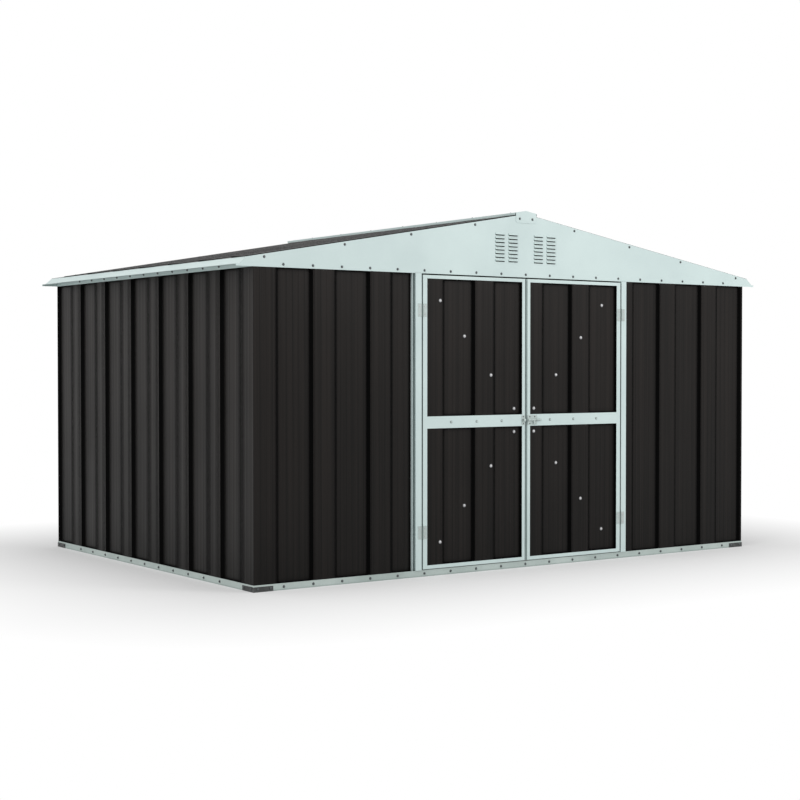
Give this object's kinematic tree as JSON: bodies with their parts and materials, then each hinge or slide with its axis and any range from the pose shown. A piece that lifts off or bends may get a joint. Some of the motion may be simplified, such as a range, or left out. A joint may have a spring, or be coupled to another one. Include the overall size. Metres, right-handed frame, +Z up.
{
  "type": "metal storage shed",
  "caption": "Low-pitched gabled metal storage shed with ribbed dark walls, pale rails and trims, louvred gables and hinged double doors with a pad bolt.",
  "frame": {"origin": "on the ground, at the middle of the shed's plan", "axes": "+X to the right seen from the front, +Y from the front with the doors to the back, +Z up"},
  "size_m": [4.22, 2.829, 2.2787],
  "materials": {
    "charcoal_sheet": "satin charcoal paint on ribbed steel sheet",
    "pale_trim": "satin pale blue-green paint on folded steel",
    "base_zinc": "satin pale blue-green paint, a little dusty near the ground",
    "dark_galvanised": "dull dark galvanised steel",
    "galvanised_frame": "matt galvanised steel with faint spangle",
    "hinge_steel": "zinc-plated steel"
  },
  "bodies": {
    "shed": {"base_rail_front": "base_zinc", "base_rail_back": "base_zinc", "base_rail_left": "base_zinc", "base_rail_right": "base_zinc", "base_corner_brackets": "dark_galvanised", "front_wall_left": "charcoal_sheet", "front_wall_right": "charcoal_sheet", "left_wall": "charcoal_sheet", "right_wall": "charcoal_sheet", "back_wall": "charcoal_sheet", "top_rail_front": "pale_trim", "top_rail_back": "pale_trim", "top_rail_left": "pale_trim", "top_rail_right": "pale_trim", "door_jamb_left": "pale_trim", "door_jamb_right": "pale_trim", "gable_front_left": "pale_trim", "gable_front_right": "pale_trim", "gable_back_left": "pale_trim", "gable_back_right": "pale_trim", "ridge_beam": "galvanised_frame", "purlins": "galvanised_frame", "roof_sheet_left": "charcoal_sheet", "roof_sheet_right": "charcoal_sheet", "ridge_cap": "pale_trim", "ridge_end_plates": "pale_trim", "eave_trim_left": "pale_trim", "eave_trim_right": "pale_trim", "roof_corner_caps": "pale_trim", "jamb_hinge_leaves": "hinge_steel"},
    "left_door": {"left_door_stiles": "pale_trim", "left_door_rails": "pale_trim", "left_door_upper_panel": "charcoal_sheet", "left_door_lower_panel": "charcoal_sheet", "left_door_braces": "galvanised_frame", "left_door_hinge_leaves": "hinge_steel", "latch_keeper": "hinge_steel"},
    "right_door": {"right_door_stiles": "pale_trim", "right_door_rails": "pale_trim", "right_door_upper_panel": "charcoal_sheet", "right_door_lower_panel": "charcoal_sheet", "right_door_braces": "galvanised_frame", "right_door_hinge_leaves": "hinge_steel", "latch_plate": "hinge_steel"},
    "latch_bolt": {"latch_bolt": "hinge_steel"}
  },
  "joints": [
    {"name": "left_door_hinge", "type": "hinge", "parent": "shed", "child": "left_door", "pos_m": [-0.82, -1.408, 0.95], "axis": [0, 0, -1], "range_deg": [0, 165]},
    {"name": "right_door_hinge", "type": "hinge", "parent": "shed", "child": "right_door", "pos_m": [0.82, -1.408, 0.95], "axis": [0, 0, 1], "range_deg": [0, 165]},
    {"name": "latch_slide", "type": "slide", "parent": "right_door", "child": "latch_bolt", "axis": [1, 0, 0], "range_m": [-0.03, 0]}
  ]
}
